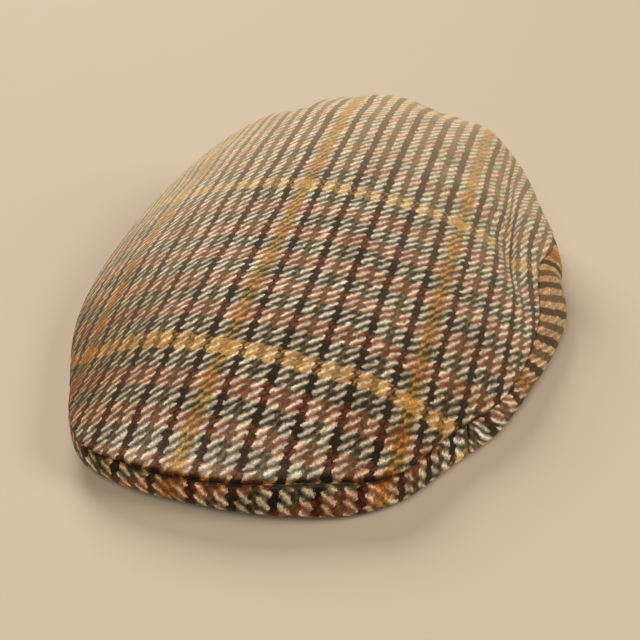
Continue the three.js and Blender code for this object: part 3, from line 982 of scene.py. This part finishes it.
    # Colour: the yarn on top, mottled and with painted shade where it dips, under flecks and a painted sheen,
    # then painted light and shade by place, browner where the shade is deep
    yarn = add(tree, "Mix", {0: weft_up, 6: lit_warp, 7: weft}, data_type="RGBA")
    mottle = add(tree, "TexNoise", {"Vector": place, **MOTTLE_NOISE}, noise_dimensions="2D")
    tone = add(tree, "Math", (mottle.outputs[0], *MOTTLE), operation="MULTIPLY_ADD")
    # Painted shade between the yarns, where a float dips
    painted_dip_shade = add(tree, "Math", (height, *PAINTED_DIP_SHADE), operation="MULTIPLY_ADD")
    tone = add(tree, "Math", (tone, painted_dip_shade), operation="MULTIPLY")
    bright = add(tree, "Math", (own, *OWN_BRIGHT), operation="MULTIPLY_ADD")
    tone = add(tree, "Math", (tone, bright), operation="MULTIPLY")
    blotch = add(tree, "TexNoise", {"Vector": place, **BLOTCH_NOISE}, noise_dimensions="2D")
    blotch = add(tree, "Math", (blotch.outputs[0], *BLOTCH), operation="MULTIPLY_ADD")
    tone = add(tree, "Math", (tone, blotch), operation="MULTIPLY")
    heather = add(tree, "VectorMath", (fuzz.outputs["Color"], HEATHER, HEATHER_LEAST),
                  operation="MULTIPLY_ADD")
    colour = add(tree, "VectorMath", (yarn.outputs[2], heather), operation="MULTIPLY")
    colour = add(tree, "VectorMath", {0: colour, "Scale": tone}, operation="SCALE")
    flecks = add(tree, "Mapping", {"Vector": place, "Rotation": FLECK_TURN, "Scale": FLECK_STRETCH})
    flecks = add(tree, "TexNoise", {"Vector": flecks, **FLECK_NOISE}, noise_dimensions="2D")
    flecks = add(tree, "MapRange", (flecks.outputs[0], *FLECK_RANGE, 0.0, FLECK_MOST))
    colour = add(tree, "Mix", {0: flecks, 6: colour, 7: linear(FLECK)}, data_type="RGBA").outputs[2]
    # Painted sheen: a pale veil mixed in by place
    colour = add(tree, "Mix", {0: painted_sheen, 6: colour, 7: linear(PAINTED_SHEEN_COLOUR)}, data_type="RGBA").outputs[2]
    # Painted light and shade: the colour raised to a power by place, then tinted brown where the shade is
    # deep
    colour = add(tree, "Gamma", (colour, depth))
    colour = add(tree, "Mix", {0: painted_shade, 6: colour, 7: linear(PAINTED_SHADE_TINT)}, data_type="RGBA",
                 blend_type="MULTIPLY").outputs[2]

    # Relief: the float's height with its fuzz
    rough = add(tree, "Math", (fuzz.outputs[0], FUZZ_RELIEF), operation="MULTIPLY")
    relief = add(tree, "Math", (height, rough), operation="ADD")
    bump = add(tree, "Bump", {"Strength": BUMP, "Distance": YARN_DEPTH * MM, "Height": relief})
    shader = add(tree, "BsdfPrincipled", {"Base Color": colour, "Normal": bump, **WOOL})
    add(tree, "OutputMaterial", (shader,))
    return material


# Floor: its colour, half its width in metres, the size of its grain in millimetres, its roughness as a
# factor of the grain and an offset, and its weak gloss
FLOOR_COLOUR = "#CDBDA7"
FLOOR_HALF = 6.0
GRAIN_SIZE = 25.0
GRAIN_ROUGHNESS = (0.1, 0.85)
FLOOR_SPECULAR = 0.1


def painted_board():
    """Matte painted board under the cap: one plain pale colour with a hint of grain."""
    material = bpy.data.materials.new("painted_board")
    material.use_nodes = True
    tree = material.node_tree
    tree.nodes.clear()
    place = add(tree, "TexCoord")
    grain = add(tree, "TexNoise", {"Vector": place.outputs["Object"], "Scale": 1 / (GRAIN_SIZE * MM)})
    rough = add(tree, "Math", (grain.outputs[0], *GRAIN_ROUGHNESS), operation="MULTIPLY_ADD")
    shader = add(tree, "BsdfPrincipled", {"Base Color": linear(FLOOR_COLOUR), "Roughness": rough,
                                          "Specular IOR Level": FLOOR_SPECULAR})
    add(tree, "OutputMaterial", (shader,))
    return material


def make_floor():
    """Flat square floor at height zero."""
    mesh = bpy.data.meshes.new("floor")
    corners = [(-FLOOR_HALF, -FLOOR_HALF, 0), (FLOOR_HALF, -FLOOR_HALF, 0),
               (FLOOR_HALF, FLOOR_HALF, 0), (-FLOOR_HALF, FLOOR_HALF, 0)]
    mesh.from_pydata(corners, [], [(0, 1, 2, 3)])
    mesh.materials.append(painted_board())
    floor = bpy.data.objects.new("floor", mesh)
    bpy.context.scene.collection.objects.link(floor)


# Lights: place in metres from the frame's origin, size in metres, power in watts, colour
LIGHTS = (
    ("light_behind", (-3.2, 4.4, 2.9), 3.0, 380.0, "#FFFAF4"),
    ("light_right", (4.0, 0.5, 2.5), 2.5, 108.0, "#FFFAF4"),
    ("light_front", (-0.2, -1.9, 2.4), 2.2, 48.0, "#FFF7EC"),
)
SURROUND_COLOUR = "#FAF6F0"
SURROUND_STRENGTH = 0.06


def make_lights():
    """Disk lights turned to the frame's origin, under the middle of the cap, and a weak even surround."""
    for name, place, size, power, colour in LIGHTS:
        lamp = bpy.data.lights.new(name, "AREA")
        lamp.shape = "DISK"
        lamp.size = size
        lamp.energy = power
        lamp.color = linear(colour)[:3]
        light = bpy.data.objects.new(name, lamp)
        light.location = place
        light.rotation_euler = (-Vector(place)).to_track_quat("-Z", "Y").to_euler()
        bpy.context.scene.collection.objects.link(light)
    world = bpy.data.worlds.new("surround")
    world.use_nodes = True
    shade = world.node_tree.nodes["Background"]
    shade.inputs["Color"].default_value = linear(SURROUND_COLOUR)
    shade.inputs["Strength"].default_value = SURROUND_STRENGTH
    bpy.context.scene.world = world
    bpy.context.scene.view_settings.view_transform = "Standard"


make_camera()
tweed = wool_tweed()
make_crown(tweed)
make_edge("tweed_side_left", "side_panel_left", PEAK_CORNER + PANEL_GAP, 180 - PANEL_GAP, PANEL_COLUMNS,
          CLOTH_WALL, side_threads, tweed)
make_edge("tweed_side_right", "side_panel_right", PANEL_GAP - 180, -PEAK_CORNER - PANEL_GAP, PANEL_COLUMNS,
          CLOTH_WALL, side_threads, tweed)
make_edge("tweed_peak", "peak", PANEL_GAP - PEAK_CORNER, PEAK_CORNER - PANEL_GAP, PEAK_COLUMNS,
          PEAK_WALL, peak_threads, tweed)
make_floor()
make_lights()
